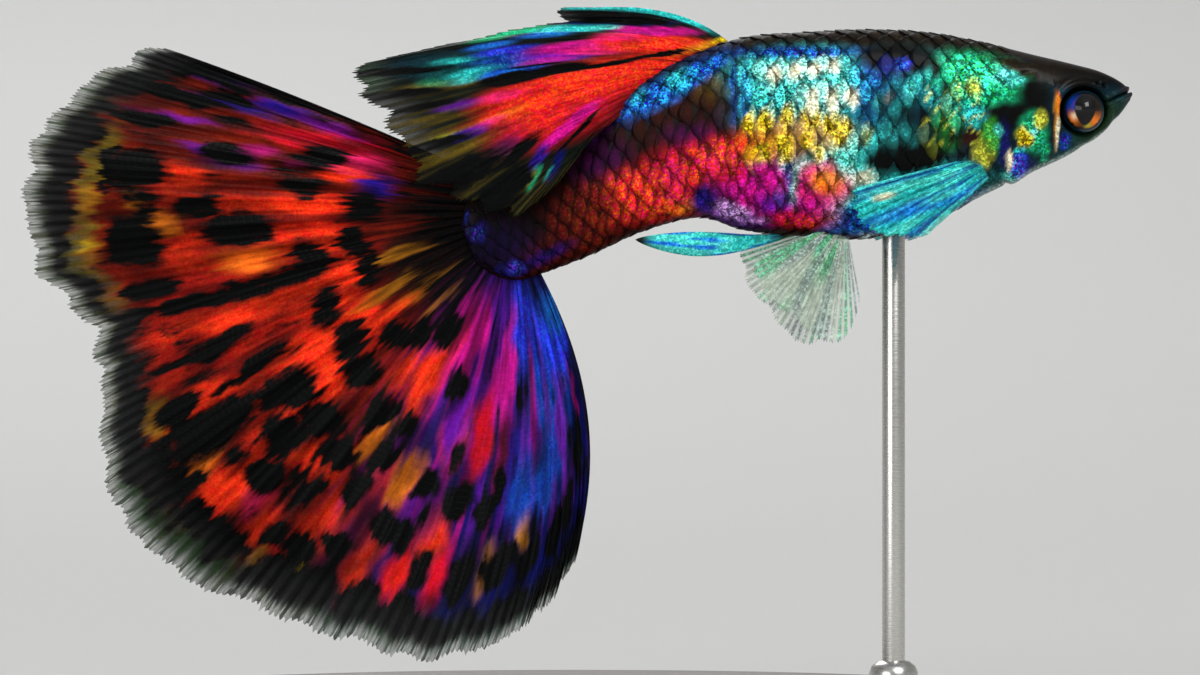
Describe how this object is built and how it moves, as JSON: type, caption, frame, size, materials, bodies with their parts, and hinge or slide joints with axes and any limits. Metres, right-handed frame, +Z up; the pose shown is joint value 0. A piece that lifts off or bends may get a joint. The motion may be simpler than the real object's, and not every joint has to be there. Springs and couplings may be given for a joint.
{
  "type": "fancy guppy display model",
  "caption": "Male fancy guppy with a wide hanging tail fan and a long dorsal fin, as a still life-size model held over an oval base by one short rod.",
  "frame": {"origin": "on the floor under the base, midway along and across the whole model", "axes": "+X the way the fish faces, -Y the fish's right side, which the picture shows, +Z up"},
  "size_m": [0.0534, 0.025, 0.0367],
  "materials": {
    "head_skin": "dark olive over teal, wet gloss",
    "gill_skin": "gold, cream and teal iridescent plates",
    "eye": "clear cornea over a gold iris and a black pupil",
    "torso_skin": "turquoise iridescent scales with black and violet patches",
    "stem_skin": "dark brown and orange-red scales with blue spots",
    "dorsal_membrane": "thin rayed membrane, teal edge, red middle, black tips",
    "tail_membrane": "thin rayed membrane, orange-red with black spots and margin",
    "clear_membrane": "thin translucent rayed membrane",
    "gonopodium_skin": "pale cyan iridescent",
    "dark_wood": "dark stained and satin varnished",
    "rod_metal": "satin"
  },
  "bodies": {
    "root": {"head": "head_skin", "lower_jaw": "head_skin", "gill_cover_right": "gill_skin", "gill_cover_left": "gill_skin", "eye_right": "eye", "eye_left": "eye", "torso": "torso_skin", "tail_stem": "stem_skin", "dorsal_fin": "dorsal_membrane", "tail_fin": "tail_membrane", "pectoral_fin_right": "clear_membrane", "pectoral_fin_left": "clear_membrane", "pelvic_fin_right": "clear_membrane", "pelvic_fin_left": "clear_membrane", "gonopodium": "gonopodium_skin", "stand_base": "dark_wood", "stand_socket": "rod_metal", "stand_rod": "rod_metal"}
  },
  "joints": []
}
